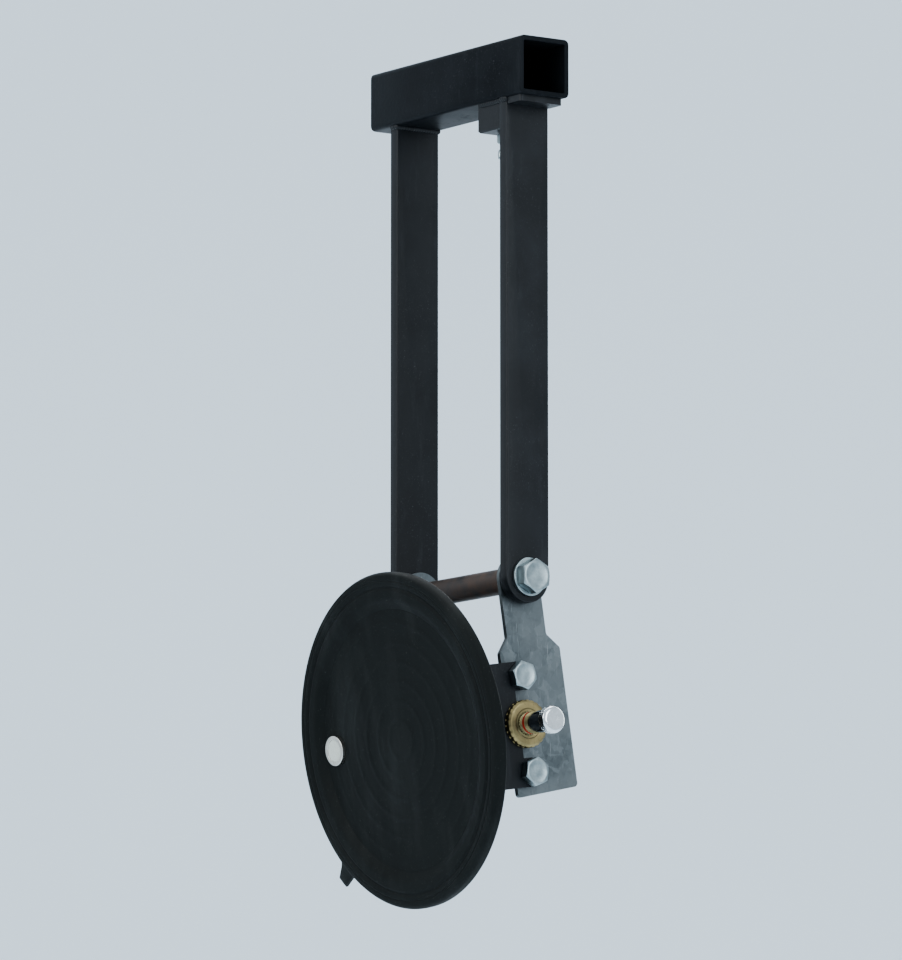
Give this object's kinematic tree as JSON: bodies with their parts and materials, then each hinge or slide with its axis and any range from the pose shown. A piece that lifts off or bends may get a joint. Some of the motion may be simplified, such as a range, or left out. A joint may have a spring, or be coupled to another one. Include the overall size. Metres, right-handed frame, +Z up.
{
  "type": "vacuum suction cup",
  "caption": "Hand-pumped vacuum cup hung by flat legs from a sleeve on a lifting beam, with a rubber pad on galvanised swivel plates, a sprung brass pump and a tilt pivot.",
  "frame": {"origin": "middle of the sleeve's square passage, where the lifting beam runs", "axes": "+X along the beam and along the pivot bolt, +Z up along the legs, the suction face looks towards -Y and 9 degrees down"},
  "size_m": [0.21, 0.1152, 0.5402],
  "materials": {
    "black_paint": "satin black powder coat",
    "zinc": "bright zinc plate, bluish",
    "galvanised": "galvanised sheet, matt",
    "dark_steel": "dark oxidised tube",
    "nylon": "natural nylon",
    "pad_rubber": "matt black moulded rubber",
    "seal_rubber": "nitrile seal",
    "felt": "white felt",
    "nickel": "nickel plate",
    "brass": "turned brass",
    "chrome": "polished chrome",
    "red_band": "red ring",
    "aluminium": "turned",
    "black_aluminium": "black coated aluminium",
    "spring_steel": "drawn spring wire"
  },
  "bodies": {
    "hanger": {"beam_sleeve": "black_paint", "leg_left": "black_paint", "leg_right": "black_paint", "stop_flange": "black_paint", "clamp_block": "black_paint", "pivot_bolt": "zinc", "pivot_nut": "zinc", "pivot_washers": "zinc", "thrust_washers": "nylon"},
    "clamp": {"clamp_screw": "zinc", "clamp_locknut": "zinc"},
    "cup": {"swivel_plate_left": "galvanised", "swivel_plate_right": "galvanised", "spacer_tube": "dark_steel", "cradle": "black_paint", "plate_bolts": "zinc", "plate_washers": "zinc", "plate_nuts": "zinc", "backing_plate": "black_aluminium", "cradle_screws": "zinc", "suction_pad": "pad_rubber", "inlet_ferrule": "nickel", "felt_filter": "felt", "pump_cylinder": "brass", "pump_gland": "brass", "pump_head": "black_aluminium", "head_plug": "brass", "head_screws": "zinc", "valve_seat": "brass", "pump_spring": "spring_steel", "ball_spring": "spring_steel"},
    "plunger": {"plunger": "chrome", "plunger_knob": "chrome", "red_line_band": "red_band", "piston": "aluminium", "piston_seal": "seal_rubber", "piston_nut": "zinc"},
    "intake_valve": {"intake_ball": "seal_rubber"}
  },
  "joints": [
    {"name": "cup_tilt", "type": "hinge", "parent": "hanger", "child": "cup", "pos_m": [0, 0, -0.3185], "axis": [1, 0, 0], "range_deg": [-35, 81]},
    {"name": "plunger_stroke", "type": "slide", "parent": "cup", "child": "plunger", "axis": [1, 0, 0], "range_m": [-0.02, 0], "stiffness_N_per_m": 900, "springref_m": 0.02, "deforming": ["pump_spring"]},
    {"name": "intake_valve_lift", "type": "slide", "parent": "cup", "child": "intake_valve", "axis": [0, 0.9877, 0.1564], "range_m": [0, 0.0015], "stiffness_N_per_m": 60, "springref_m": -0.001, "deforming": ["ball_spring"]},
    {"name": "clamp_screw_travel", "type": "slide", "parent": "hanger", "child": "clamp", "axis": [0, 0, -1], "range_m": [0, 0.006]}
  ]
}
